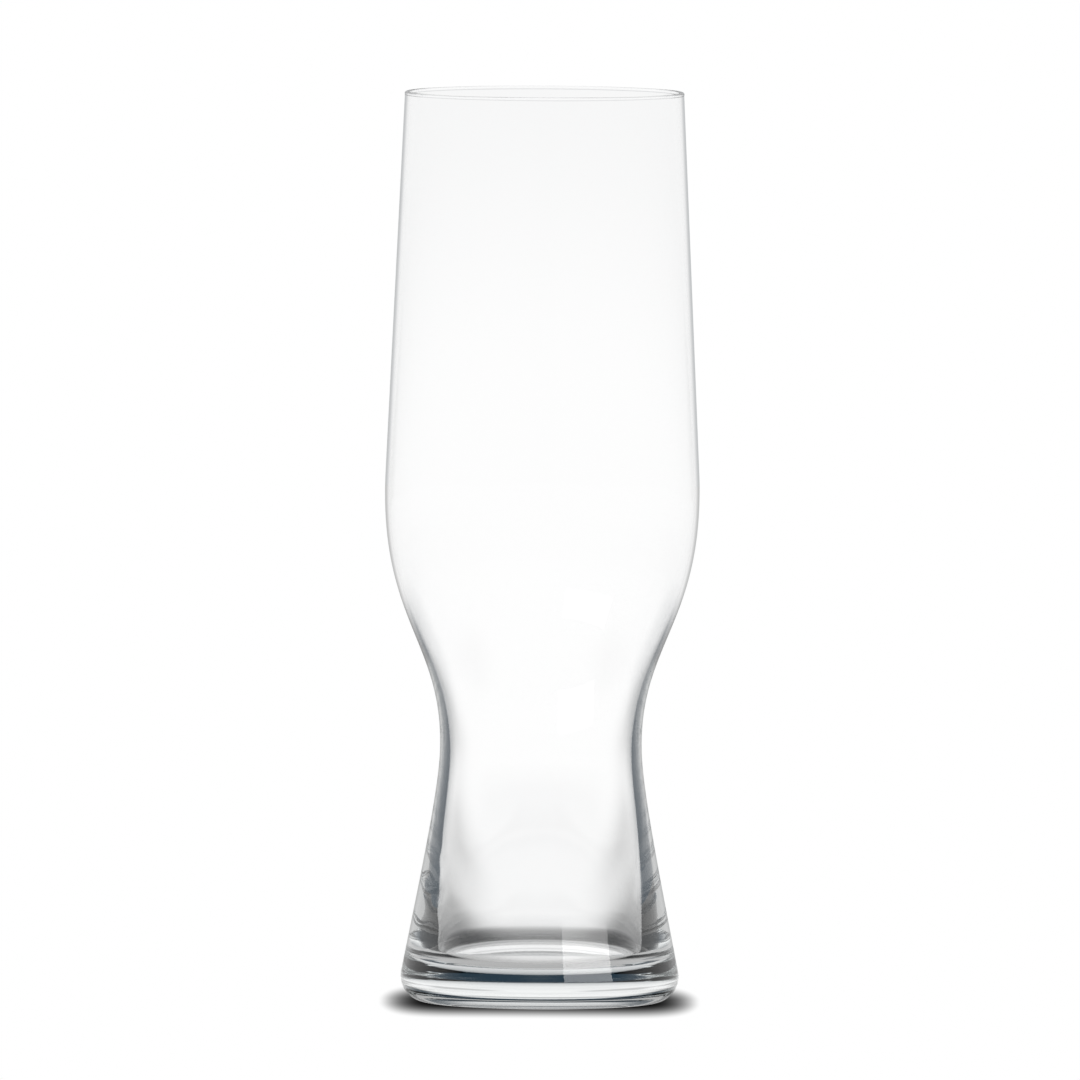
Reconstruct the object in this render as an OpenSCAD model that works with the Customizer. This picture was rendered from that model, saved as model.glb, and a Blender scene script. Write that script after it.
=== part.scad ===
// Weizen glass: a tall wheat beer glass of clear blown glass. A thin bowl tapers up to the lip,
// and a narrow waist stands on a flared foot with a thick wall and a heavy solid base.
// Lengths are in millimetres. The origin is on the table, in the middle of the bearing ring, +Z up.

/* [Heights] */
// Height of the waist above the table
waist_z = 65.4; // [58:0.2:74]
// Rise from the waist to the girth
shoulder_h = 63.4; // [52:0.2:76]
// Rise from the girth to the top of the lip
bowl_h = 101.2; // [85:0.2:120]

/* [Bowl and rim] */
// Outer diameter at the lip
rim_d = 70.6; // [66:0.2:75]
// Height of the lip's zone
lip_h = 3; // [2:0.5:8]
// Outer diameter at the girth, the widest place
girth_d = 79.4; // [76:0.2:86]
// Radius of the outline as it turns in below the girth
girth_turn_r = 111; // [80:1:150]
// Rise of the soft turn from the girth into the bowl's taper
girth_turn_h = 2.5; // [1:0.1:6]
// Wall of the rim and the bowl
bowl_wall = 1; // [0.8:0.1:1.6]

/* [Waist] */
// Outer diameter at the waist, the narrowest place
waist_d = 50.9; // [47:0.1:55]
// Radius of the outline as the shoulder turns into the waist
waist_turn_r = 64; // [45:1:85]
// Length of the outline below the waist that keeps upright
waist_pull = 5.8; // [2:0.2:12]
// Wall at the waist
waist_wall = 2.4; // [1.6:0.1:4]
// Length of the inside below the waist that keeps its slope
inner_pull = 10.8; // [4:0.2:16]
// Reach of the waist's zone above the waist
waist_above = 18.6; // [12:0.2:26]
// Reach of the waist's zone below the waist
waist_below = 18.4; // [12:0.2:26]

/* [Foot] */
// Lean of the foot's wall from upright, in degrees
foot_lean = 11.6; // [8:0.2:15]
// Length of the foot's wall that keeps the lean
foot_pull = 44.5; // [30:0.5:50]
// Wall of the foot where it meets the floor, measured level from the base's diameter
foot_wall = 9; // [6:0.1:11]
// Length of the inside above the floor that keeps upright
chamber_pull = 29.2; // [16:0.2:34]

/* [Base] */
// Outer diameter at the heel
base_d = 70.3; // [66:0.1:76]
// Radius of the round heel
heel_r = 6.5; // [4:0.1:9]
// Height of the inner floor's edge above the table
floor_z = 9; // [7:0.1:14]
// Radius of the corner between the floor and the foot's wall
corner_r = 4.2; // [2:0.1:6]
// Depth of the dish in the floor
floor_dish = 0.7; // [0.2:0.1:2]
// Width of the bearing ring that stands on the table
bearing_w = 4.1; // [2:0.1:8]
// Depth of the recess inside the bearing ring
punt_h = 2.3; // [1:0.1:3.5]

/* [Hidden] */
$fn = 96;
// Parts that a long curve and a short arc are drawn in
curve_steps = 24;
arc_steps = 10;
glass = "#dfe9ec";

rim_r = rim_d / 2;
girth_r = girth_d / 2;
waist_r = waist_d / 2;
base_r = base_d / 2;
chamber_r = base_r - foot_wall;
inner_girth_r = girth_r - bowl_wall;
inner_waist_r = waist_r - waist_wall;
bearing_r = base_r - heel_r;

girth_z = waist_z + shoulder_h;
glass_h = girth_z + bowl_h;
corner_z = floor_z + corner_r;
lip_z = glass_h - lip_h;
waist_top_z = waist_z + waist_above;
waist_low_z = waist_z - waist_below;

// The middle of the bowl's wall runs straight from the turn at the girth to the middle of the lip
lip_r = bowl_wall / 2;
lip_centre = [rim_r - lip_r, glass_h - lip_r];
turn_corner = [girth_r - lip_r, girth_z + girth_turn_h];
taper_run = lip_centre - turn_corner;
taper = atan2(-taper_run.x, taper_run.y);
turn_mitre = lip_r * [1, tan(taper / 2)];

// Where the heel's arc runs out into the leaning wall of the foot
heel_centre = [bearing_r, heel_r];
heel_top = heel_centre + heel_r * [cos(foot_lean), sin(foot_lean)];
foot_handle = heel_top + foot_pull * [-sin(foot_lean), cos(foot_lean)];

// Handle that gives the shoulder's curve the stated radius at its end
function handle(turn_r) = sqrt(turn_r * (girth_r - waist_r) / 1.5);

girth_handle = handle(girth_turn_r);
waist_handle = handle(waist_turn_r);
// How fast the wall grows thicker on the way down past the waist
wall_growth = (waist_wall - bowl_wall) / waist_handle;

function bezier(a, b, c, d, steps = curve_steps) = [
    for (i = [0 : steps])
        let (t = i / steps, u = 1 - t)
        u * u * u * a + 3 * u * u * t * b + 3 * u * t * t * c + t * t * t * d
];

// Turn from upright at the girth, round a corner, into the bowl's taper
function turn(start, corner) =
    let (end = corner + norm(corner - start) * [-sin(taper), cos(taper)])
    bezier(start, (start + 2 * corner) / 3, (end + 2 * corner) / 3, end, arc_steps);

function arc(centre, r, from, to) = [
    for (i = [0 : arc_steps])
        let (a = from + (to - from) * i / arc_steps)
        centre + r * [cos(a), sin(a)]
];

function reversed(list) = [for (i = [len(list) - 1 : -1 : 0]) list[i]];

// Arc of a shallow bowl from the axis out to the radius, with its middle off the edge by the depth
function dish(r, edge_z, depth) =
    let (dish_r = (r * r + depth * depth) / (2 * depth), half = asin(r / dish_r))
    [
        for (i = [0 : arc_steps])
            let (a = half * i / arc_steps)
            [dish_r * sin(a), edge_z - depth + dish_r * (1 - cos(a))]
    ];

function mirrored(points, level) = [for (p = points) [p.x, 2 * level - p.y]];

underside = mirrored(dish(bearing_r - bearing_w, 0, punt_h), 0);
heel = arc(heel_centre, heel_r, -90, foot_lean);
foot_outside = bezier(
    heel_top,
    foot_handle,
    [waist_r, waist_z - waist_pull],
    [waist_r, waist_z]
);
shoulder_outside = bezier(
    [waist_r, waist_z],
    [waist_r, waist_z + waist_handle],
    [girth_r, girth_z - girth_handle],
    [girth_r, girth_z]
);
bowl_outside = turn([girth_r, girth_z], turn_corner + turn_mitre);
lip = arc(lip_centre, lip_r, taper, taper + 180);
bowl_inside = reversed(turn([inner_girth_r, girth_z], turn_corner - turn_mitre));
shoulder_inside = bezier(
    [inner_girth_r, girth_z],
    [inner_girth_r, girth_z - girth_handle],
    [waist_r - bowl_wall, waist_z + waist_handle],
    [inner_waist_r, waist_z]
);
foot_inside = bezier(
    [inner_waist_r, waist_z],
    [inner_waist_r, waist_z] - inner_pull * [wall_growth, 1],
    [chamber_r, corner_z + chamber_pull],
    [chamber_r, corner_z]
);
corner = arc([chamber_r - corner_r, corner_z], corner_r, 0, -90);
floor_top = reversed(dish(chamber_r - corner_r, floor_z, floor_dish));

// Half section of the whole glass, from the recess up the outside, over the lip and down the inside
module half_section() {
    polygon(concat(
        underside,
        heel,
        foot_outside,
        shoulder_outside,
        bowl_outside,
        lip,
        bowl_inside,
        shoulder_inside,
        foot_inside,
        corner,
        floor_top
    ));
}

// The part of the glass between two level seams
module zone(low_z, high_z) {
    color(glass, 0.4)
    rotate_extrude()
    intersection() {
        half_section();
        translate([0, low_z])
        square([girth_d, high_z - low_z]);
    }
}

// Round lip at the mouth
module rim() {
    zone(lip_z, glass_h);
}

// Thin tapering wall that holds most of the beer
module bowl() {
    zone(girth_z, lip_z);
}

// Wall that draws in below the girth and grows thicker
module shoulder() {
    zone(waist_top_z, girth_z);
}

// Narrow grip
module waist() {
    zone(waist_low_z, waist_top_z);
}

// Flared wall round the lowest part of the inside
module foot() {
    zone(corner_z, waist_low_z);
}

// Solid disc with the floor, the heel and the recess under it
module base() {
    zone(0, corner_z);
}

rim();
bowl();
shoulder();
waist();
foot();
base();
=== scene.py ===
"""Dresses a weizen glass: one clear blown glass standing on a white table in soft studio light."""
import logging
import math
from dataclasses import dataclass
from enum import Enum

import bmesh
import bpy
from mathutils import Matrix, Vector


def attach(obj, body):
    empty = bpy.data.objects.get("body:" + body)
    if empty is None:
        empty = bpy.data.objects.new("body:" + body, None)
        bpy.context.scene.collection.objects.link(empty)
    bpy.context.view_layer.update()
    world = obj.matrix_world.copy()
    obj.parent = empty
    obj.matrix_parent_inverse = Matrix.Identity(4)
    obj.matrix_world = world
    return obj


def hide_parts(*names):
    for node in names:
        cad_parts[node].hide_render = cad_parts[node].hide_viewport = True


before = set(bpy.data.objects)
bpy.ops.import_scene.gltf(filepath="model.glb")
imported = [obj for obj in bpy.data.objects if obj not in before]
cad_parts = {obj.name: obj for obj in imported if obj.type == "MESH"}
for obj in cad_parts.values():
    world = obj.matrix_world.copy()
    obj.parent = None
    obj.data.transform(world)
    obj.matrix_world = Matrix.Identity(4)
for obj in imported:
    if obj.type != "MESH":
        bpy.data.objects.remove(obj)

log = logging.getLogger("weizen_glass")

MM = 0.001
IMAGE_PX = 1080
WHITE = "#ffffff"
# Light turns many times in the thick base before it leaves the glass
BOUNCES = 32
# A Mix node's two colours and their result go by number, because other sockets share their names
MIX_FIRST, MIX_SECOND, MIX_RESULT = 6, 7, 2

Tree = bpy.types.NodeTree
Socket = bpy.types.NodeSocket
# A number, or a socket that carries one
Value = Socket | float


class Zone(Enum):
    """Zones of the glass, by the names that the frame gives them."""

    RIM = "rim"
    BOWL = "bowl"
    SHOULDER = "shoulder"
    WAIST = "waist"
    FOOT = "foot"
    BASE = "base"


def linear(hex_colour: str) -> tuple[float, float, float, float]:
    """Turns an sRGB hex colour into linear light.

    Args:
        hex_colour: Colour such as "#f4f7f8".

    Returns:
        Red, green, blue and alpha, each from 0 to 1.
    """
    shares = [int(hex_colour[i : i + 2], 16) / 255 for i in (1, 3, 5)]
    lights = [s / 12.92 if s <= 0.04045 else ((s + 0.055) / 1.055) ** 2.4 for s in shares]
    return (*lights, 1.0)


def add_node(
    tree: Tree, kind: str, settings: dict[str | int, object], links: dict[str | int, Socket]
) -> bpy.types.Node:
    """Adds a node with its settings and links.

    Args:
        tree: Node tree that gets the node.
        kind: Type name of the node.
        settings: Values by name: of an input socket if the node has one, else of a property.
        links: Output sockets by the name or number of the input that each feeds.

    Returns:
        The new node.
    """
    node = tree.nodes.new(kind)
    for name, value in settings.items():
        if isinstance(name, int) or name in node.inputs:
            node.inputs[name].default_value = value
        else:
            setattr(node, name, value)
    for name, source in links.items():
        tree.links.new(source, node.inputs[name])
    return node


def combine(tree: Tree, operation: str, first: Value, second: Value) -> Socket:
    """Works out one step of arithmetic.

    Args:
        tree: Node tree that gets the step.
        operation: Name of the step, such as "MULTIPLY".
        first: First value.
        second: Second value.

    Returns:
        Socket with the result.
    """
    values = dict(enumerate((first, second)))
    links = {i: v for i, v in values.items() if isinstance(v, Socket)}
    settings = {i: v for i, v in values.items() if i not in links}
    return add_node(tree, "ShaderNodeMath", {"operation": operation, **settings}, links).outputs[0]


def fade(tree: Tree, value: Socket, span: tuple[float, float], ends: tuple[float, float]) -> Socket:
    """Goes softly from one level to another as a value crosses a span.

    Args:
        tree: Node tree that gets the step.
        value: Value that crosses the span.
        span: Where the fade starts and where it ends.
        ends: Levels before and after the span.

    Returns:
        Socket with the level.
    """
    settings = {
        "interpolation_type": "SMOOTHSTEP",
        "From Min": span[0],
        "From Max": span[1],
        "To Min": ends[0],
        "To Max": ends[1],
    }
    return add_node(tree, "ShaderNodeMapRange", settings, {"Value": value}).outputs[0]


def times(tree: Tree, first: Value, *others: Value) -> Socket:
    """Multiplies values together.

    Args:
        tree: Node tree that gets the steps.
        first: First value.
        others: The values that it is multiplied by.

    Returns:
        Socket with the result.
    """
    for other in others:
        first = combine(tree, "MULTIPLY", first, other)
    return first


def less(tree: Tree, level: Value, *losses: Socket) -> Socket:
    """Takes shares of a light away, one after the other.

    Args:
        tree: Node tree that gets the steps.
        level: The light at first.
        losses: Shares that are lost, each from 0 to 1.

    Returns:
        Socket with the light that is left.
    """
    for loss in losses:
        level = times(tree, level, combine(tree, "SUBTRACT", 1.0, loss))
    return level


def new_material(name: str) -> bpy.types.Material:
    """Makes a material that has no nodes yet.

    Args:
        name: Name of the material.

    Returns:
        The material.
    """
    made = bpy.data.materials.new(name)
    made.use_nodes = True
    made.node_tree.nodes.clear()
    return made


def new_piece(name: str, shape: bmesh.types.BMesh) -> bpy.types.Object:
    """Puts a finished shape into the scene as a piece of its own, at the origin.

    Args:
        name: Name of the piece.
        shape: Its shape, which is used up.

    Returns:
        The piece.
    """
    mesh = bpy.data.meshes.new(name)
    shape.to_mesh(mesh)
    shape.free()
    piece = bpy.data.objects.new(name, mesh)
    bpy.context.scene.collection.objects.link(piece)
    return piece


def bezier(a: Vector, b: Vector, c: Vector, d: Vector, steps: int) -> list[Vector]:
    """Points along a cubic curve.

    Args:
        a: Start.
        b: Handle of the start.
        c: Handle of the end.
        d: End.
        steps: Stretches between the points.

    Returns:
        The points, with both ends.
    """
    points = []
    for i in range(steps + 1):
        t = i / steps
        u = 1 - t
        points.append(u**3 * a + 3 * u**2 * t * b + 3 * u * t**2 * c + t**3 * d)
    return points


def arc(centre: Vector, radius: float, start: float, end: float, steps: int) -> list[Vector]:
    """Points along an arc.

    Args:
        centre: Middle of the circle.
        radius: Radius of the circle.
        start: Angle of the first point, in degrees.
        end: Angle of the last point, in degrees.
        steps: Stretches between the points.

    Returns:
        The points, with both ends.
    """
    points = []
    for i in range(steps + 1):
        a = math.radians(start + (end - start) * i / steps)
        points.append(centre + radius * Vector((math.cos(a), math.sin(a))))
    return points


def dish(radius: float, depth: float, steps: int) -> list[Vector]:
    """Points along a shallow round dish, from its middle out to its edge at height 0.

    Args:
        radius: Radius of the edge.
        depth: How far the middle lies below the edge.
        steps: Stretches between the points.

    Returns:
        The points, with both ends.
    """
    sphere = (radius**2 + depth**2) / (2 * depth)
    half = math.degrees(math.asin(radius / sphere))
    return arc(Vector((0, sphere - depth)), sphere, -90, half - 90, steps)


@dataclass(frozen=True)
class ClearGlass:
    """Soda-lime glass, blown and fire polished."""

    # Colourless and as smooth as the melt leaves it, so the eye sees it only by what it mirrors and bends
    tint: str = WHITE
    ior: float = 1.51
    roughness: float = 0.0
    # A trace of iron gives a faint grey-green, which shows only where the foot and the base are thick
    depth_colour: str = "#e2eceb"
    depth_per_m: float = 3.0

    def material(self) -> bpy.types.Material:
        """Makes the material.

        Returns:
            The glass, clear on its face and faintly tinted in its depth.
        """
        made = bpy.data.materials.new("soda_lime_glass")
        made.use_nodes = True
        tree = made.node_tree
        shader = tree.nodes["Principled BSDF"]
        shader.inputs["Base Color"].default_value = linear(self.tint)
        shader.inputs["IOR"].default_value = self.ior
        shader.inputs["Roughness"].default_value = self.roughness
        shader.inputs["Transmission Weight"].default_value = 1.0
        depth = add_node(
            tree,
            "ShaderNodeVolumeAbsorption",
            {"Color": linear(self.depth_colour), "Density": self.depth_per_m},
            {},
        )
        tree.links.new(depth.outputs[0], tree.nodes["Material Output"].inputs["Volume"])
        return made


@dataclass
class GlassBody:
    """The whole glass as one blown piece, with sizes in millimetres and angles in degrees."""

    # Heights
    waist_z: float = 65.4
    shoulder_h: float = 63.4
    bowl_h: float = 101.2
    # Lip, bowl and girth
    rim_d: float = 70.6
    lip_bead: float = 0.08
    bowl_wall: float = 1.0
    girth_d: float = 79.4
    girth_turn_r: float = 111.0
    girth_turn_h: float = 2.5
    # Waist
    waist_d: float = 50.9
    waist_turn_r: float = 64.0
    waist_pull: float = 5.8
    waist_wall: float = 2.4
    inner_pull: float = 10.8
    # Foot
    foot_lean: float = 11.6
    foot_pull: float = 44.5
    foot_wall: float = 9.0
    chamber_pull: float = 29.2
    # Base
    base_d: float = 70.3
    heel_r: float = 6.5
    floor_z: float = 9.0
    corner_r: float = 4.2
    floor_dish: float = 0.7
    bearing_w: float = 4.1
    punt_h: float = 2.3
    # Uneven inside of the foot: the height of a wave, where it lies, how closely it keeps to the left,
    # and two waves by their number in the round, their climb in radians per millimetre and their start
    uneven: float = 0.03
    uneven_span: tuple[float, float] = (12.0, 42.0)
    uneven_power: int = 3
    wave_counts: tuple[int, int] = (9, 14)
    wave_climbs: tuple[float, float] = (0.6, -0.8)
    wave_starts: tuple[float, float] = (0.0, 1.3)
    # Steps of the mesh: round the axis, along a long curve, along a short arc and up the straight wall,
    # where they crowd towards the lip so that it shades evenly
    turns: int = 300
    curve_steps: int = 40
    arc_steps: int = 16
    straight_steps: int = 14
    straight_power: int = 3
    merge_dist: float = 0.0005

    def outside(self) -> list[Vector]:
        """Outline of the outside, from the recess under the base to the foot of the bowl's straight wall.

        Returns:
            The points, from the axis outwards and up.
        """
        bearing_r = self.base_d / 2 - self.heel_r
        punt = dish(bearing_r - self.bearing_w, self.punt_h, self.arc_steps)
        recess = [Vector((p.x, -p.y)) for p in punt]
        heel_centre = Vector((bearing_r, self.heel_r))
        heel = arc(heel_centre, self.heel_r, -90, self.foot_lean, self.arc_steps)
        lean = math.radians(self.foot_lean)
        waist = Vector((self.waist_d / 2, self.waist_z))
        girth = Vector((self.girth_d / 2, self.waist_z + self.shoulder_h))
        foot = bezier(
            heel[-1],
            heel[-1] + self.foot_pull * Vector((-math.sin(lean), math.cos(lean))),
            waist - Vector((0, self.waist_pull)),
            waist,
            self.curve_steps,
        )
        shoulder = bezier(
            waist,
            waist + Vector((0, self.handle(self.waist_turn_r))),
            girth - Vector((0, self.handle(self.girth_turn_r))),
            girth,
            self.curve_steps,
        )
        return recess + heel + foot[1:] + shoulder[1:] + self.turn(girth, 1)[1:]

    def inside(self) -> list[Vector]:
        """Outline of the inside, from the foot of the bowl's straight wall to the middle of the floor.

        Returns:
            The points, down and then in to the axis.
        """
        waist = Vector((self.waist_d / 2 - self.waist_wall, self.waist_z))
        girth = Vector((self.girth_d / 2 - self.bowl_wall, self.waist_z + self.shoulder_h))
        waist_handle = self.handle(self.waist_turn_r)
        growth = (self.waist_wall - self.bowl_wall) / waist_handle
        chamber = Vector((self.base_d / 2 - self.foot_wall, self.floor_z + self.corner_r))
        shoulder = bezier(
            girth,
            girth - Vector((0, self.handle(self.girth_turn_r))),
            Vector((self.waist_d / 2 - self.bowl_wall, self.waist_z + waist_handle)),
            waist,
            self.curve_steps,
        )
        foot = bezier(
            waist,
            waist - self.inner_pull * Vector((growth, 1)),
            chamber + Vector((0, self.chamber_pull)),
            chamber,
            self.curve_steps,
        )
        corner = arc(chamber - Vector((self.corner_r, 0)), self.corner_r, 0, -90, self.arc_steps)
        edge = Vector((0, self.floor_z))
        floor = [p + edge for p in dish(corner[-1].x, self.floor_dish, self.arc_steps)]
        return self.turn(girth, -1)[::-1] + shoulder[1:] + foot[1:] + corner[1:] + floor[-2::-1]

    def handle(self, turn_r: float) -> float:
        """Handle that gives the shoulder's curve the radius turn_r at its end."""
        # A cubic curve ends in a radius of 1.5 times its handle squared over its sideways run
        return math.sqrt(turn_r * (self.girth_d - self.waist_d) / 2 / 1.5)

    def lip_r(self) -> float:
        """Radius of the round lip's section."""
        return self.bowl_wall / 2 + self.lip_bead

    def lip_centre(self) -> Vector:
        """Middle of the round lip's section."""
        top = self.waist_z + self.shoulder_h + self.bowl_h
        return Vector((self.rim_d / 2 - self.lip_r(), top - self.lip_r()))

    def taper(self) -> float:
        """Lean of the bowl's wall from upright, in degrees."""
        run = self.lip_centre() - self.turn_corner()
        return math.degrees(math.atan2(-run.x, run.y))

    def turn_corner(self) -> Vector:
        """Where the middle of the bowl's wall, drawn straight, would meet the upright at the girth."""
        height = self.waist_z + self.shoulder_h + self.girth_turn_h
        return Vector((self.girth_d / 2 - self.bowl_wall / 2, height))

    def turn(self, start: Vector, side: int) -> list[Vector]:
        """Turn from upright at the girth into the bowl's taper.

        Args:
            start: Point at the girth.
            side: 1 for the outside of the wall, -1 for the inside.

        Returns:
            The points from the girth up.
        """
        half = math.radians(self.taper() / 2)
        corner = self.turn_corner() + side * self.bowl_wall / 2 * Vector((1, math.tan(half)))
        along = Vector((-math.sin(2 * half), math.cos(2 * half)))
        end = corner + (corner - start).length * along
        return bezier(start, (start + 2 * corner) / 3, (end + 2 * corner) / 3, end, self.arc_steps)

    def straight(self, low: Vector, high: Vector) -> list[Vector]:
        """Points up the bowl's straight wall between two ends, closer together towards the lip."""
        steps = range(1, self.straight_steps)
        return [low.lerp(high, 1 - (1 - i / self.straight_steps) ** self.straight_power) for i in steps]

    def outline(self) -> list[Vector]:
        """The half section of the whole glass.

        Returns:
            The points from the recess up the outside, over the lip and down the inside to the floor.
        """
        lip_r, taper = self.lip_r(), self.taper()
        under = math.degrees(math.acos(self.bowl_wall / 2 / lip_r))
        lip = arc(self.lip_centre(), lip_r, taper - under, taper + 180 + under, self.arc_steps)
        outside, inside = self.outside(), self.inside()
        up = self.straight(outside[-1], lip[0])
        down = self.straight(inside[0], lip[-1])[::-1]
        return outside + up + lip + down + inside

    def wave(self, place: Vector) -> float:
        """How far the inside of the foot stands off its true shape, as blown, mostly on the left.

        Args:
            place: A point of the inside, in metres.

        Returns:
            The distance outwards, in millimetres.
        """
        turn = math.atan2(place.y, place.x)
        lift = place.z / MM
        low, high = self.uneven_span
        # 1 half way up the span and 0 at its ends
        share = max(0.0, (lift - low) * (high - lift) / (high - low) ** 2 * 4)
        left = max(0.0, -math.cos(turn)) ** self.uneven_power
        waves = sum(
            math.sin(count * turn + climb * lift + start)
            for count, climb, start in zip(self.wave_counts, self.wave_climbs, self.wave_starts)
        )
        return self.uneven * share * left * waves

    def build(self) -> bpy.types.Object:
        """Spins the half section into one closed mesh.

        Returns:
            The glass, at the origin.
        """
        shape = bmesh.new()
        inner = shape.verts.layers.float.new("inner")
        points = [shape.verts.new((p.x * MM, 0, p.y * MM)) for p in self.outline()]
        for point in points[-len(self.inside()) :]:
            point[inner] = 1.0
        edges = [shape.edges.new(pair) for pair in zip(points, points[1:])]
        bmesh.ops.spin(
            shape,
            geom=points + edges,
            axis=(0, 0, 1),
            cent=(0, 0, 0),
            angle=math.tau,
            steps=self.turns,
            use_merge=True,
        )
        bmesh.ops.remove_doubles(shape, verts=shape.verts, dist=self.merge_dist * MM)
        for point in shape.verts:
            point.co.xy *= 1 + point[inner] * self.wave(point.co) * MM / max(point.co.xy.length, MM)
        bmesh.ops.recalc_face_normals(shape, faces=shape.faces)
        for face in shape.faces:
            face.smooth = True
        return new_piece("weizen_glass", shape)

    def dress(self, piece: bpy.types.Object, finish: ClearGlass) -> None:
        """Gives the glass its material and its place in the frame.

        Args:
            piece: The glass.
            finish: What it is made of.
        """
        piece.data.materials.append(finish.material())
        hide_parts(*[zone.value for zone in Zone])
        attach(piece, "root")


def around(tree: Tree, way: Socket, sides: int, turns: tuple[float, float]) -> Socket:
    """Tells the sides of the studio from the corners between them.

    Args:
        tree: Node tree that gets the nodes.
        way: Direction from the middle of the table.
        sides: Sides in the whole round, the first of them straight behind the glass.
        turns: Angles from the middle of a side where it starts to fade and where it ends, in degrees.

    Returns:
        Socket that is 1 in the middle of a side and 0 in the corners.
    """
    parts = add_node(tree, "ShaderNodeSeparateXYZ", {}, {0: way}).outputs
    turn = combine(tree, "ARCTAN2", parts["X"], parts["Y"])
    wave = combine(tree, "COSINE", times(tree, turn, float(sides)), 0.0)
    inner, outer = (math.cos(math.radians(sides * angle)) for angle in turns)
    return fade(tree, wave, (outer, inner), (0.0, 1.0))


@dataclass(frozen=True)
class Paths:
    """Sockets that are 1 for one kind of light and 0 for other light."""

    camera: Socket
    mirrored: Socket
    in_wall: Socket
    far_wall: Socket
    through: Socket


def light_paths(tree: Tree) -> Paths:
    """Tells light that the glass mirrors from light that it lets through.

    Args:
        tree: Node tree that gets the nodes.

    Returns:
        Light that misses the glass, all mirrored light, light mirrored within the near wall, light mirrored
        once beyond it, and light that isn't mirrored.
    """
    path = add_node(tree, "ShaderNodeLightPath", {}, {}).outputs
    # Depths are whole numbers, so each limit lies half way between two of them
    mirrored = combine(tree, "GREATER_THAN", path["Glossy Depth"], 0.5)
    once = combine(tree, "LESS_THAN", path["Glossy Depth"], 1.5)
    entered = combine(tree, "GREATER_THAN", path["Transmission Depth"], 1.5)
    beyond = combine(tree, "GREATER_THAN", path["Transmission Depth"], 2.5)
    return Paths(
        camera=path["Is Camera Ray"],
        mirrored=mirrored,
        in_wall=times(tree, mirrored, combine(tree, "SUBTRACT", entered, beyond)),
        far_wall=times(tree, mirrored, beyond, once),
        through=less(tree, 1.0, mirrored),
    )


def glow(tree: Tree, share: Socket, colour: str, strength: float) -> None:
    """Ends a material that gives light by a share and is clear for the rest.

    Args:
        tree: Node tree of the material.
        share: How much of it gives light, from 0 to 1.
        colour: Colour of the light, as sRGB hex.
        strength: Strength of the light, where 1 is plain white.
    """
    clear = add_node(tree, "ShaderNodeBsdfTransparent", {}, {})
    light = add_node(tree, "ShaderNodeEmission", {"Color": linear(colour), "Strength": strength}, {})
    mix = add_node(tree, "ShaderNodeMixShader", {}, {0: share, 1: clear.outputs[0], 2: light.outputs[0]})
    add_node(tree, "ShaderNodeOutputMaterial", {}, {"Surface": mix.outputs[0]})


@dataclass
class Viewpoint:
    """The camera at the photograph's viewing angle, with lengths in metres and angles in degrees."""

    distance: float = 9.0
    base_view: float = 3.95
    mm_per_px: float = 0.2520
    # Where the photograph has the ends of the glass's axis
    axis_top_px: tuple[float, float] = (544.6, 94.35)
    axis_foot_px: tuple[float, float] = (539.4, 1003.2)
    sensor_mm: float = 36.0
    clip_end: float = 36.0

    def build(self) -> None:
        """Sets the camera, with the photograph's slight roll."""
        data = bpy.data.cameras.new("camera")
        data.sensor_width = self.sensor_mm
        data.lens = self.sensor_mm * self.distance / (IMAGE_PX * self.mm_per_px * MM)
        data.clip_end = self.clip_end
        place = bpy.data.objects.new("camera", data)
        bpy.context.scene.collection.objects.link(place)
        (top_x, top_y), (foot_x, foot_y) = self.axis_top_px, self.axis_foot_px
        roll = math.atan2(top_x - foot_x, foot_y - top_y)
        middle = IMAGE_PX / 2
        share = (foot_y - middle) / (foot_y - top_y)
        aim_z = (foot_y - middle) * self.mm_per_px * MM
        aim_x = -(foot_x + (top_x - foot_x) * share - middle) * self.mm_per_px * MM
        eye_z = self.distance * math.tan(math.radians(self.base_view))
        eye = Vector((aim_x, -self.distance, eye_z))
        aim = Vector((aim_x, 0, aim_z))
        turn = (aim - eye).to_track_quat("-Z", "Y").to_matrix() @ Matrix.Rotation(roll, 3, "Z")
        place.matrix_world = Matrix.Translation(eye) @ turn.to_4x4()
        bpy.context.scene.camera = place


@dataclass(frozen=True)
class Shades:
    """Painted darker places that more than one piece of the studio has, with lengths in metres and angles in
    degrees.

    A depth is the share of the light that is lost.
    """

    # Colour of the room where it is dark, and of the painted shade on the cards
    dark_colour: str = "#2c3c48"
    # Painted shade in mirrored light: a little less all round, and much less straight behind the glass
    mirror_loss: float = 0.08
    dip_turns: tuple[float, float] = (11.0, 27.0)
    dip_depth: float = 0.38
    # Dark cards stand at the corners of the studio, from the middle of the table back
    card_turns: tuple[float, float] = (13.0, 32.0)
    card_rear: tuple[float, float] = (-0.04, 0.02)
    card_depth: float = 0.96

    def dip(self, tree: Tree, way: Socket) -> Socket:
        """Share of the mirrored light that is lost in a direction from the middle of the table."""
        behind = around(tree, way, 1, self.dip_turns)
        return combine(tree, "ADD", times(tree, behind, self.dip_depth), self.mirror_loss)


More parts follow.
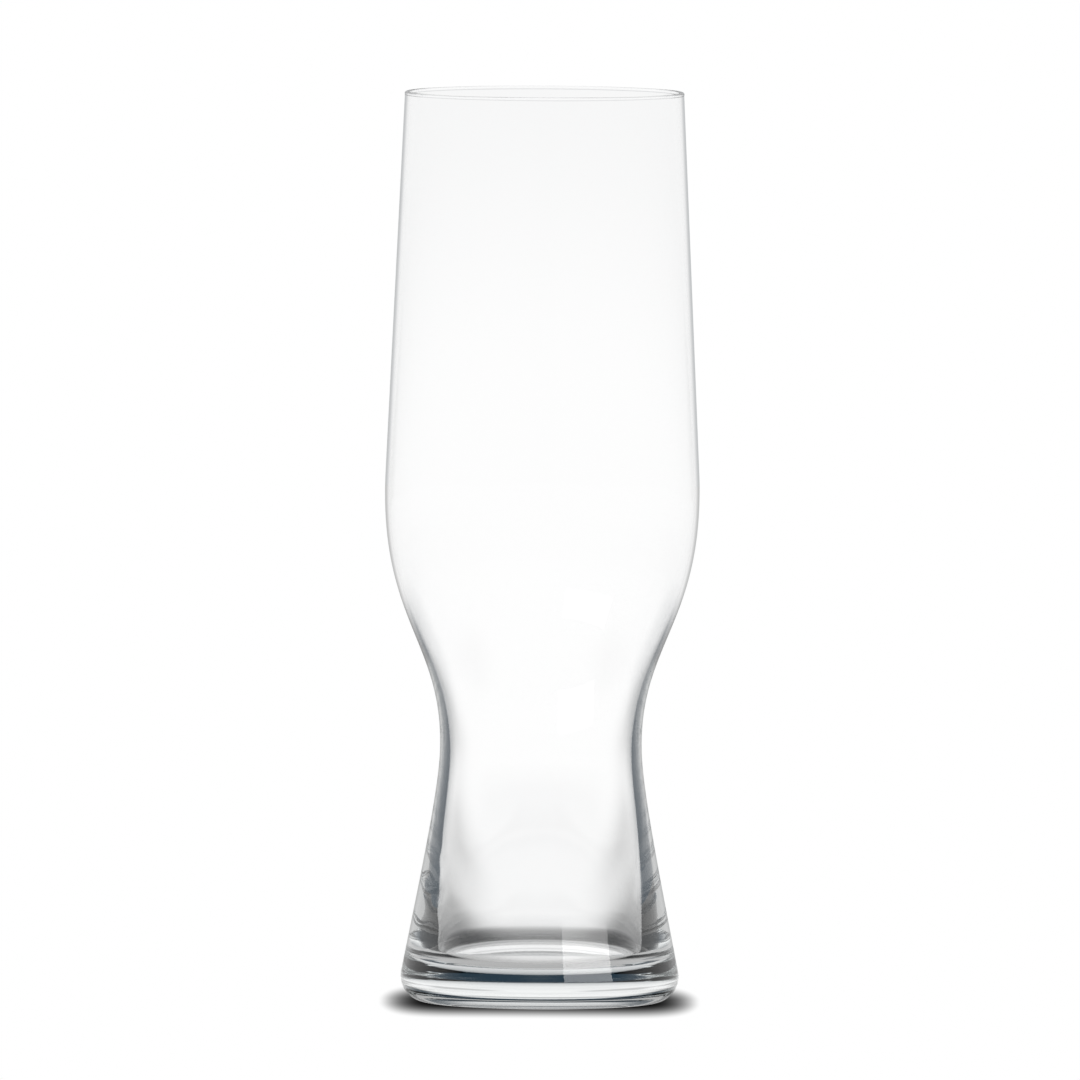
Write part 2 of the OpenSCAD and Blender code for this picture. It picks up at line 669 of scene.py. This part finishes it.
@dataclass
class Table:
    """The white table, which gives its own light with a painted shadow and painted darker places, with
    lengths in metres and angles in degrees.
    """

    shades: Shades
    half: float = 2.5
    # Painted soft shadow round the foot, which the glass doesn't cast: half of its even middle, then its
    # reach and its power across and along the view, and the sum of both over which it fades
    shade_core: float = 0.005
    shade_reach: tuple[float, float] = (0.0384, 0.0451)
    shade_power: tuple[float, float] = (8.3, 1.8)
    shade_span: tuple[float, float] = (0.03, 1.7)
    # Painted light under the recess, which only the base shows
    under_span: tuple[float, float] = (0.006, 0.018)
    under_lights: tuple[float, float] = (0.75, 0.48)
    under_edge: tuple[float, float] = (0.031, 0.037)
    # Painted shade in mirrored light: the loss starts away from the glass, and the flanks near it are dark in
    # the thick wall
    dip_span: tuple[float, float] = (0.2, 0.4)
    flank_span: tuple[float, float] = (0.1, 0.16)
    flank_rear: tuple[float, float] = (-0.08, -0.03)
    # Painted shade seen through the glass: a darker ring close to it, as its shadow, dark corners behind it,
    # and soft gores farther out
    wide_span: tuple[float, float] = (0.04, 0.095)
    wide_depth: float = 0.32
    close_turns: tuple[float, float] = (8.0, 31.0)
    close_span: tuple[float, float] = (0.07, 0.23)
    close_depth: float = 0.62
    half_turns: tuple[float, float] = (65.0, 100.0)
    far_turns: tuple[float, float] = (6.5, 15.5)
    far_span: tuple[float, float] = (0.25, 0.85)
    far_depth: float = 0.36

    def build(self) -> bpy.types.Object:
        """Lays the table.

        Returns:
            The table.
        """
        shape = bmesh.new()
        bmesh.ops.create_grid(shape, x_segments=1, y_segments=1, size=self.half)
        piece = new_piece("table", shape)
        return piece

    def shadow(self, tree: Tree, place: Socket) -> Socket:
        """Painted soft shadow round the foot of the glass, which the glass itself doesn't cast.

        Args:
            tree: Node tree that gets the nodes.
            place: Place on the table.

        Returns:
            Socket with the light that is left, from 0 under the glass to 1 away from it.
        """
        parts = add_node(tree, "ShaderNodeSeparateXYZ", {}, {0: place}).outputs
        sideways, depth = (combine(tree, "ABSOLUTE", parts[axis], 0.0) for axis in "XY")
        depth = combine(tree, "MAXIMUM", combine(tree, "SUBTRACT", depth, self.shade_core), 0.0)
        across, along = (
            combine(tree, "POWER", times(tree, offset, 1 / reach), power)
            for offset, reach, power in zip((sideways, depth), self.shade_reach, self.shade_power)
        )
        return fade(tree, combine(tree, "ADD", across, along), self.shade_span, (0.0, 1.0))

    def shown(self, tree: Tree, place: Socket, away: Socket, paths: Paths) -> Socket:
        """Light of the open table as the glass shows it, with painted darker places.

        Args:
            tree: Node tree that gets the nodes.
            place: Place on the table.
            away: Distance from the middle of the table.
            paths: Kinds of light.

        Returns:
            Socket with the light that the painted darker places leave, from 0 to 1.
        """
        depth = add_node(tree, "ShaderNodeSeparateXYZ", {}, {0: place}).outputs["Y"]
        wide = fade(tree, away, self.wide_span, (self.wide_depth, 0.0))
        half = around(tree, place, 1, self.half_turns)
        corner = less(tree, 1.0, around(tree, place, 4, self.close_turns))
        close = fade(tree, away, self.close_span, (1.0, 0.0))
        gore = less(tree, 1.0, around(tree, place, 8, self.far_turns))
        far = less(tree, fade(tree, away, self.far_span, (self.far_depth, 0.0)), close)
        open_table = fade(tree, away, self.dip_span, (0.0, 1.0))
        flank = less(tree, 1.0, around(tree, place, 2, self.shades.card_turns))
        rear = fade(tree, depth, self.flank_rear, (0.0, 1.0))
        near = fade(tree, away, self.flank_span, (self.shades.card_depth, 0.0))
        return less(
            tree,
            1.0,
            times(tree, paths.through, wide),
            times(tree, paths.through, corner, half, close, self.close_depth),
            times(tree, paths.through, gore, far),
            times(tree, paths.mirrored, self.shades.dip(tree, place), open_table),
            times(tree, paths.in_wall, flank, rear, near),
        )

    def dress(self, piece: bpy.types.Object) -> None:
        """Makes the table white, with the painted shadow, and with the painted darker places where only the
        glass shows them.

        Args:
            piece: The table.
        """
        made = new_material("white_table_painted_shade")
        tree = made.node_tree
        place = add_node(tree, "ShaderNodeTexCoord", {}, {}).outputs["Object"]
        away = add_node(tree, "ShaderNodeVectorMath", {"operation": "LENGTH"}, {0: place}).outputs["Value"]
        paths = light_paths(tree)
        # Painted light under the recess, for light that comes through the base and not for the camera
        under = times(
            tree,
            fade(tree, away, self.under_span, self.under_lights),
            fade(tree, away, self.under_edge, (1.0, 0.0)),
        )
        seen = combine(tree, "MAXIMUM", self.shown(tree, place, away, paths), paths.camera)
        # Painted shadow of the glass, taken out of the table's own light
        shaded = times(tree, self.shadow(tree, place), seen)
        strength = combine(tree, "MAXIMUM", shaded, less(tree, under, paths.camera))
        light = add_node(tree, "ShaderNodeEmission", {"Color": linear(WHITE)}, {"Strength": strength})
        add_node(tree, "ShaderNodeOutputMaterial", {}, {"Surface": light.outputs[0]})
        piece.data.materials.append(made)


@dataclass
class Cards:
    """Low dark cards round the back of the glass, painted shade that only light mirrored within the thick
    wall sees, with lengths in metres.
    """

    shades: Shades
    away: float = 0.11
    # Heights between which a card fades out
    span: tuple[float, float] = (0.064, 0.09)
    steps: int = 64

    def build(self) -> bpy.types.Object:
        """Stands the cards in a ring, of which dress leaves the places that the cards take.

        Returns:
            The ring.
        """
        shape = bmesh.new()
        ends = [shape.verts.new((self.away, 0, z)) for z in (0.0, self.span[1])]
        edge = shape.edges.new(ends)
        bmesh.ops.spin(
            shape,
            geom=[*ends, edge],
            axis=(0, 0, 1),
            cent=(0, 0, 0),
            angle=math.tau,
            steps=self.steps,
            use_merge=True,
        )
        piece = new_piece("cards", shape)
        return piece

    def dress(self, piece: bpy.types.Object) -> None:
        """Makes the cards dark for light mirrored within the thick wall of the lower glass, and else clear.

        Args:
            piece: The ring.
        """
        made = new_material("dark_card_painted_shade")
        tree = made.node_tree
        place = add_node(tree, "ShaderNodeTexCoord", {}, {}).outputs["Object"]
        parts = add_node(tree, "ShaderNodeSeparateXYZ", {}, {0: place}).outputs
        aside = less(tree, 1.0, around(tree, place, 4, self.shades.card_turns))
        rear = fade(tree, parts["Y"], self.shades.card_rear, (0.0, 1.0))
        low = fade(tree, parts["Z"], self.span, (self.shades.card_depth, 0.0))
        share = times(tree, light_paths(tree).in_wall, aside, rear, low)
        glow(tree, share, self.shades.dark_colour, 1.0)
        piece.data.materials.append(made)


@dataclass
class Softbox:
    """Small low softbox to the front right, with lengths in metres."""

    away: float = 0.12
    # Angles of its sides to the right of straight in front, in degrees
    turns: tuple[float, float] = (17.5, 55.2)
    lifts: tuple[float, float] = (0.018, 0.06)
    light: float = 4.6
    # Its light fades out along an upper edge that sinks towards the back
    edge_slope: float = 0.093
    edge_span: tuple[float, float] = (0.0345, 0.0425)
    steps: int = 16

    def build(self) -> bpy.types.Object:
        """Stands the softbox, curved round the glass.

        Returns:
            The softbox.
        """
        shape = bmesh.new()
        left, right = (math.radians(angle) for angle in self.turns)
        side = Vector((math.sin(left), -math.cos(left), 0.0)) * self.away
        ends = [shape.verts.new(side + Vector((0, 0, z))) for z in self.lifts]
        edge = shape.edges.new(ends)
        bmesh.ops.spin(
            shape,
            geom=[*ends, edge],
            axis=(0, 0, 1),
            cent=(0, 0, 0),
            angle=right - left,
            steps=self.steps,
        )
        piece = new_piece("softbox", shape)
        return piece

    def dress(self, piece: bpy.types.Object) -> None:
        """Lights the softbox for what the outside of the glass mirrors, and keeps it clear for other light.

        Args:
            piece: The softbox.
        """
        made = new_material("softbox")
        tree = made.node_tree
        path = add_node(tree, "ShaderNodeLightPath", {}, {}).outputs
        outside = combine(tree, "LESS_THAN", path["Transmission Depth"], 0.5)
        place = add_node(tree, "ShaderNodeTexCoord", {}, {}).outputs["Object"]
        parts = add_node(tree, "ShaderNodeSeparateXYZ", {}, {0: place}).outputs
        lift = combine(tree, "ADD", parts["Z"], times(tree, parts["Y"], self.edge_slope))
        low = fade(tree, lift, self.edge_span, (1.0, 0.0))
        glow(tree, times(tree, outside, path["Is Glossy Ray"], low), WHITE, self.light)
        piece.data.materials.append(made)


@dataclass
class Room:
    """The room's light, with heights and depths as the Z and Y of a direction."""

    shades: Shades
    # White up to a height, then darker up to a top that is low in front and high behind
    white_top: float = 0.05
    turn_span: tuple[float, float] = (-0.5, 0.6)
    front_top: float = 0.2
    back_top: float = 0.96
    # Heights over which the painted loss of mirrored light ends and the upper part of the painted dark cards
    # starts
    dip_lift: tuple[float, float] = (0.06, 0.14)
    card_lift: tuple[float, float] = (0.07, 0.13)
    # Least light for what is mirrored beyond the near wall, and for what comes through
    far_wall_light: float = 0.97
    through_light: float = 0.42
    # Painted shade: the backdrop above the table is a shade greyer through the glass
    backdrop_span: tuple[float, float] = (-0.052, -0.042)
    backdrop_depth: float = 0.07

    def build(self) -> None:
        """Fills the room with light: white low down and behind, dark above and in front."""
        room = bpy.data.worlds.new("studio")
        room.use_nodes = True
        tree = room.node_tree
        tree.nodes.clear()
        way = add_node(tree, "ShaderNodeTexCoord", {}, {}).outputs["Generated"]
        paths = light_paths(tree)
        seen = combine(tree, "MAXIMUM", self.shown(tree, way, paths), paths.camera)
        colours = {MIX_FIRST: linear(self.shades.dark_colour), MIX_SECOND: linear(WHITE)}
        colour = add_node(tree, "ShaderNodeMix", {"data_type": "RGBA", **colours}, {0: seen})
        light = add_node(
            tree, "ShaderNodeBackground", {"Strength": 1.0}, {"Color": colour.outputs[MIX_RESULT]}
        )
        add_node(tree, "ShaderNodeOutputWorld", {}, {"Surface": light.outputs[0]})
        bpy.context.scene.world = room

    def shown(self, tree: Tree, way: Socket, paths: Paths) -> Socket:
        """Light of the room as the glass shows it.

        Args:
            tree: Node tree that gets the nodes.
            way: Direction into the room.
            paths: Kinds of light.

        Returns:
            Socket with the share of white, from 0 to 1.
        """
        parts = add_node(tree, "ShaderNodeSeparateXYZ", {}, {0: way}).outputs
        top = fade(tree, parts["Y"], self.turn_span, (self.front_top, self.back_top))
        rise = add_node(
            tree,
            "ShaderNodeMapRange",
            {"From Min": self.white_top, "To Min": 1.0, "To Max": 0.0},
            {"Value": parts["Z"], "From Max": top},
        ).outputs[0]
        low = fade(tree, parts["Z"], self.dip_lift, (1.0, 0.0))
        aside = less(tree, 1.0, around(tree, way, 4, self.shades.card_turns))
        rear = fade(tree, parts["Y"], self.shades.card_rear, (0.0, 1.0))
        high = fade(tree, parts["Z"], self.card_lift, (0.0, self.shades.card_depth))
        lit = less(
            tree,
            rise,
            times(tree, paths.mirrored, self.shades.dip(tree, way), low),
            times(tree, paths.in_wall, aside, rear, high),
        )
        lit = combine(tree, "MAXIMUM", lit, times(tree, paths.far_wall, self.far_wall_light))
        lit = combine(tree, "MAXIMUM", lit, times(tree, paths.through, self.through_light))
        grey = fade(tree, parts["Z"], self.backdrop_span, (0.0, self.backdrop_depth))
        return less(tree, lit, times(tree, paths.through, grey))


def report(piece: bpy.types.Object) -> None:
    """Logs a piece with its number of faces."""
    log.info("%s: %d faces", piece.name, len(piece.data.polygons))


def main() -> None:
    """Builds the studio and the glass, and logs each piece."""
    logging.basicConfig(level=logging.INFO)
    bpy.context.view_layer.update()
    Viewpoint().build()
    shades = Shades()
    for part in (Table(shades), Cards(shades), Softbox()):
        piece = part.build()
        part.dress(piece)
        report(piece)
    Room(shades).build()
    body = GlassBody()
    glass = body.build()
    body.dress(glass, ClearGlass())
    report(glass)
    scene = bpy.context.scene
    scene.view_settings.view_transform = "Standard"
    scene.cycles.max_bounces = BOUNCES
    scene.cycles.glossy_bounces = BOUNCES
    scene.cycles.transmission_bounces = BOUNCES


if __name__ == "__main__":
    main()
